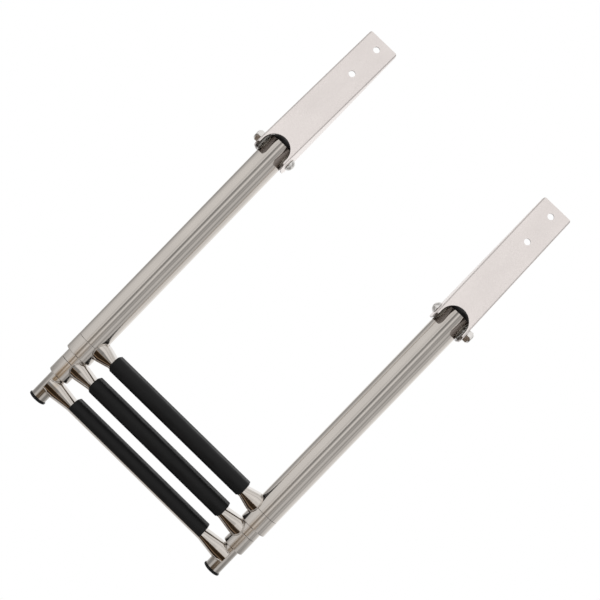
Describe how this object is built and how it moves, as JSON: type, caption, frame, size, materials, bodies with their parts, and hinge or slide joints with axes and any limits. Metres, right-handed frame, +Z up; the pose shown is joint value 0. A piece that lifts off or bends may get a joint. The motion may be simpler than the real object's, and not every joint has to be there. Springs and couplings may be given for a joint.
{
  "type": "boat boarding ladder",
  "caption": "Fold-down boarding ladder: tapered channel brackets carry telescoping round stainless rails, with flared rungs under black rubber treads.",
  "frame": {"origin": "middle of the swing axis, halfway between the two brackets", "axes": "+X along the rungs towards the right rail, +Y away from the boat, +Z up along the rails"},
  "size_m": [0.315, 0.0413, 0.5324],
  "materials": {
    "polished_stainless": "mirror-polished stainless tube",
    "satin_stainless": "satin stainless sheet",
    "bright_fastener": "bright stainless fastener",
    "black_rubber": "matte moulded rubber",
    "black_plastic": "fine matte",
    "white_nylon": "natural nylon"
  },
  "bodies": {
    "brackets": {"left_bracket": "satin_stainless", "left_pivot_bolt": "bright_fastener", "left_pivot_nut": "bright_fastener", "left_nut_washer": "bright_fastener", "right_bracket": "satin_stainless", "right_pivot_bolt": "bright_fastener", "right_pivot_nut": "bright_fastener", "right_nut_washer": "bright_fastener"},
    "outer_section": {"left_outer_tube": "polished_stainless", "left_outer_collar": "polished_stainless", "left_outer_collar_bush": "white_nylon", "left_pivot_sleeve": "bright_fastener", "left_inner_pivot_washer": "white_nylon", "left_outer_pivot_washer": "white_nylon", "right_outer_tube": "polished_stainless", "right_outer_collar": "polished_stainless", "right_outer_collar_bush": "white_nylon", "right_pivot_sleeve": "bright_fastener", "right_inner_pivot_washer": "white_nylon", "right_outer_pivot_washer": "white_nylon", "top_rung": "polished_stainless", "top_rung_tread": "black_rubber"},
    "middle_section": {"left_middle_tube": "polished_stainless", "left_middle_collar": "polished_stainless", "left_middle_collar_bush": "white_nylon", "left_middle_guide_bush": "white_nylon", "right_middle_tube": "polished_stainless", "right_middle_collar": "polished_stainless", "right_middle_collar_bush": "white_nylon", "right_middle_guide_bush": "white_nylon", "middle_rung": "polished_stainless", "middle_rung_tread": "black_rubber"},
    "inner_section": {"left_inner_tube": "polished_stainless", "left_inner_guide_bush": "white_nylon", "left_end_cap": "black_plastic", "right_inner_tube": "polished_stainless", "right_inner_guide_bush": "white_nylon", "right_end_cap": "black_plastic", "bottom_rung": "polished_stainless", "bottom_rung_tread": "black_rubber"}
  },
  "joints": [
    {"name": "ladder_swing", "type": "hinge", "parent": "brackets", "child": "outer_section", "pos_m": [0, 0, 0], "axis": [1, 0, 0], "range_deg": [-85, 168]},
    {"name": "middle_slide", "type": "slide", "parent": "outer_section", "child": "middle_section", "axis": [0, 0, -1], "range_m": [0, 0.237]},
    {"name": "inner_slide", "type": "slide", "parent": "middle_section", "child": "inner_section", "axis": [0, 0, -1], "range_m": [0, 0.237]}
  ]
}
